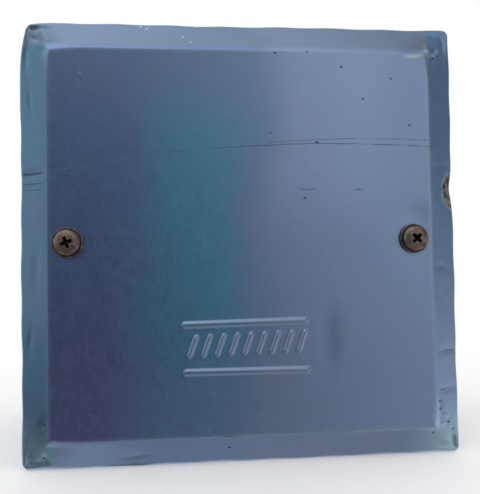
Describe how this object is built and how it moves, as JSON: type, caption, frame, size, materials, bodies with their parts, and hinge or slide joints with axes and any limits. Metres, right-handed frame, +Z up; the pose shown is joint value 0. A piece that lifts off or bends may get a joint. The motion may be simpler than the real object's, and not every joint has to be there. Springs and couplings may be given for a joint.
{
  "type": "electrical junction box",
  "caption": "Square sheet-steel junction box with a bevelled screw-on cover, side knockouts for conduit, a terminal strip and an earth terminal, for joining building wiring on or in a wall.",
  "frame": {"origin": "centre of the back face, which lies against the wall", "axes": "+X to the right as seen from the front, +Y into the wall, +Z up; the cover faces -Y"},
  "size_m": [0.104, 0.0703, 0.104],
  "materials": {
    "cover_steel": "zinc-plated, blue passivated, satin",
    "box_steel": "zinc-plated, blue passivated, satin",
    "screw_steel": "nickel-plated, dulled",
    "brass": "plain",
    "insulator": "moulded, matt",
    "earth_green": "green passivated"
  },
  "bodies": {
    "back_box": {"back_channel": "box_steel", "side_plate_left": "box_steel", "side_plate_right": "box_steel", "cover_lug_left": "box_steel", "cover_lug_right": "box_steel", "knockout_top_1": "box_steel", "knockout_top_2": "box_steel", "knockout_bottom_1": "box_steel", "knockout_bottom_2": "box_steel", "knockout_left_1": "box_steel", "knockout_left_2": "box_steel", "knockout_right_1": "box_steel", "knockout_right_2": "box_steel", "knockout_back": "box_steel", "terminal_bridge": "box_steel", "terminal_strip_body": "insulator", "terminal_barrel_1": "brass", "terminal_barrel_2": "brass", "terminal_barrel_3": "brass", "strip_fixing_screw_1": "screw_steel", "strip_fixing_screw_2": "screw_steel", "earth_weld_nut": "box_steel"},
    "cover": {"cover": "cover_steel"},
    "cover_washer_left": {"cover_washer_left": "screw_steel"},
    "cover_screw_left": {"cover_screw_left": "screw_steel"},
    "cover_washer_right": {"cover_washer_right": "screw_steel"},
    "cover_screw_right": {"cover_screw_right": "screw_steel"},
    "clamp_screw_1_upper": {"clamp_screw_1_upper": "screw_steel"},
    "clamp_screw_1_lower": {"clamp_screw_1_lower": "screw_steel"},
    "clamp_screw_2_upper": {"clamp_screw_2_upper": "screw_steel"},
    "clamp_screw_2_lower": {"clamp_screw_2_lower": "screw_steel"},
    "clamp_screw_3_upper": {"clamp_screw_3_upper": "screw_steel"},
    "clamp_screw_3_lower": {"clamp_screw_3_lower": "screw_steel"},
    "earth_washers": {"earth_clamp_washer": "brass", "earth_spring_washer": "screw_steel"},
    "earth_screw": {"earth_screw": "earth_green"}
  },
  "joints": [
    {"name": "cover_lift_off", "type": "slide", "parent": "back_box", "child": "cover", "axis": [0, -1, 0], "range_m": [0, 0.06]},
    {"name": "cover_washer_left_rise", "type": "slide", "parent": "cover", "child": "cover_washer_left", "axis": [0, -1, 0], "range_m": [0, 0.009]},
    {"name": "cover_screw_left_turn", "type": "hinge", "parent": "cover_washer_left", "child": "cover_screw_left", "pos_m": [-0.04075, -0.06848, 0], "axis": [0, -1, 0], "range_deg": [0, 6480]},
    {"name": "cover_washer_right_rise", "type": "slide", "parent": "cover", "child": "cover_washer_right", "axis": [0, -1, 0], "range_m": [0, 0.009]},
    {"name": "cover_screw_right_turn", "type": "hinge", "parent": "cover_washer_right", "child": "cover_screw_right", "pos_m": [0.04075, -0.06848, 0], "axis": [0, -1, 0], "range_deg": [0, 6480]},
    {"name": "clamp_screw_1_upper_turn", "type": "hinge", "parent": "back_box", "child": "clamp_screw_1_upper", "pos_m": [-0.012, -0.0175, 0.0195], "axis": [0, -1, 0], "range_deg": [-1080, 2160]},
    {"name": "clamp_screw_1_lower_turn", "type": "hinge", "parent": "back_box", "child": "clamp_screw_1_lower", "pos_m": [-0.012, -0.0175, 0.0085], "axis": [0, -1, 0], "range_deg": [-1080, 2160]},
    {"name": "clamp_screw_2_upper_turn", "type": "hinge", "parent": "back_box", "child": "clamp_screw_2_upper", "pos_m": [0, -0.0175, 0.0195], "axis": [0, -1, 0], "range_deg": [-1080, 2160]},
    {"name": "clamp_screw_2_lower_turn", "type": "hinge", "parent": "back_box", "child": "clamp_screw_2_lower", "pos_m": [0, -0.0175, 0.0085], "axis": [0, -1, 0], "range_deg": [-1080, 2160]},
    {"name": "clamp_screw_3_upper_turn", "type": "hinge", "parent": "back_box", "child": "clamp_screw_3_upper", "pos_m": [0.012, -0.0175, 0.0195], "axis": [0, -1, 0], "range_deg": [-1080, 2160]},
    {"name": "clamp_screw_3_lower_turn", "type": "hinge", "parent": "back_box", "child": "clamp_screw_3_lower", "pos_m": [0.012, -0.0175, 0.0085], "axis": [0, -1, 0], "range_deg": [-1080, 2160]},
    {"name": "earth_washers_rise", "type": "slide", "parent": "back_box", "child": "earth_washers", "axis": [0, -1, 0], "range_m": [0, 0.00245]},
    {"name": "earth_screw_turn", "type": "hinge", "parent": "earth_washers", "child": "earth_screw", "pos_m": [0.028, -0.0066, -0.024], "axis": [0, -1, 0], "range_deg": [0, 1260]}
  ],
  "couplings": [
    {"joint": "cover_screw_left_turn", "follows": "cover_washer_left_rise", "rad_per_m": 12566},
    {"joint": "cover_screw_right_turn", "follows": "cover_washer_right_rise", "rad_per_m": 12566},
    {"joint": "earth_screw_turn", "follows": "earth_washers_rise", "rad_per_m": 8976}
  ]
}
